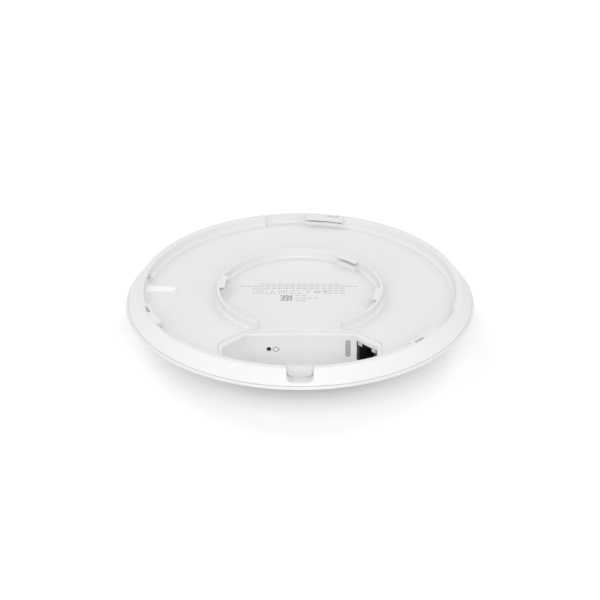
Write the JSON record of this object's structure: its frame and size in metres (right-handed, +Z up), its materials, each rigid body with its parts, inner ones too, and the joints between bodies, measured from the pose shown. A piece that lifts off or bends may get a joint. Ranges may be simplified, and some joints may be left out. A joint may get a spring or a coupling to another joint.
{
  "type": "ceiling access point",
  "caption": "Round white ceiling radio access point lying face down, showing its bracket recess, bayonet ring, cable pocket with network jack and reset hole.",
  "frame": {"origin": "On the axis of the round body, at the flat middle of the domed face it lies on.", "axes": "+Z runs up the body's axis from the domed face to the ceiling side. The cable pocket and the cable exit are on the -Y side, and the network jack is at +X of the pocket."},
  "size_m": [0.206, 0.206, 0.0344],
  "materials": {
    "back_casing": "moulded white polycarbonate, fine satin texture",
    "detent_strip": "smooth white wear strip",
    "cable_exit_blank": "moulded white polycarbonate blank",
    "front_cover": "moulded white polycarbonate, fine satin texture",
    "centre_cap": "moulded white polycarbonate cap",
    "light_guide": "milky translucent acrylic",
    "light_board": "white solder-masked circuit board",
    "light_board_screws": "zinc plated steel",
    "status_leds": "moulded light-emitting chips",
    "ribbon_sockets": "ivory nylon sockets",
    "light_ribbon": "polyimide flat ribbon",
    "main_board": "green solder-masked circuit board",
    "heat_spreader": "die-cast aluminium plate",
    "board_spacers": "turned brass spacers",
    "chassis_screws": "zinc plated steel",
    "processor_shield": "tinned steel shield can",
    "radio_shields": "tinned steel shield cans",
    "processor_pad": "soft heat-conducting pad",
    "radio_pads": "soft heat-conducting pads",
    "processor": "black moulded chip package",
    "memory_chips": "black moulded chip package",
    "radio_chips": "black moulded chip package",
    "flash_chip": "black moulded chip package",
    "power_chip": "black moulded chip package",
    "clock_crystal": "welded metal lid",
    "ethernet_transformer": "black moulded transformer block",
    "power_transformer": "ferrite core on a nylon bobbin",
    "power_inductors": "pressed ferrite",
    "power_capacitors": "aluminium can on a plastic foot",
    "antennas_low": "nickel plated spring sheet",
    "antennas_mid": "nickel plated spring sheet",
    "antennas_high": "nickel plated spring sheet",
    "antenna_pins": "gold plated brass pins",
    "antenna_screws": "zinc plated steel",
    "reset_switch_body": "black nylon switch body",
    "reset_plunger": "black nylon plunger",
    "reset_switch_bracket": "tinned steel bracket",
    "jack_shell": "nickel plated steel shell",
    "jack_housing": "black nylon housing",
    "jack_windows": "clear polycarbonate light pipes",
    "jack_contacts": "gold plated contact wires"
  },
  "bodies": {
    "housing": {"back_casing": "back_casing", "detent_strip": "detent_strip", "cable_exit_blank": "cable_exit_blank", "front_cover": "front_cover", "centre_cap": "centre_cap", "light_guide": "light_guide", "light_board": "light_board", "light_board_screws": "light_board_screws", "status_leds": "status_leds", "ribbon_sockets": "ribbon_sockets", "light_ribbon": "light_ribbon", "main_board": "main_board", "heat_spreader": "heat_spreader", "board_spacers": "board_spacers", "chassis_screws": "chassis_screws", "processor_shield": "processor_shield", "radio_shields": "radio_shields", "processor_pad": "processor_pad", "radio_pads": "radio_pads", "processor": "processor", "memory_chips": "memory_chips", "radio_chips": "radio_chips", "flash_chip": "flash_chip", "power_chip": "power_chip", "clock_crystal": "clock_crystal", "ethernet_transformer": "ethernet_transformer", "power_transformer": "power_transformer", "power_inductors": "power_inductors", "power_capacitors": "power_capacitors", "antennas_low": "antennas_low", "antennas_mid": "antennas_mid", "antennas_high": "antennas_high", "antenna_pins": "antenna_pins", "antenna_screws": "antenna_screws", "reset_switch_body": "reset_switch_body", "reset_switch_bracket": "reset_switch_bracket", "jack_shell": "jack_shell", "jack_housing": "jack_housing", "jack_windows": "jack_windows", "jack_contacts": "jack_contacts"},
    "reset_button": {"reset_plunger": "reset_plunger"}
  },
  "joints": [
    {"name": "reset_press", "type": "slide", "parent": "housing", "child": "reset_button", "axis": [0, 1, 0], "range_m": [0, 0.0003], "stiffness_N_per_m": 1500, "springref_m": -0.0005}
  ]
}
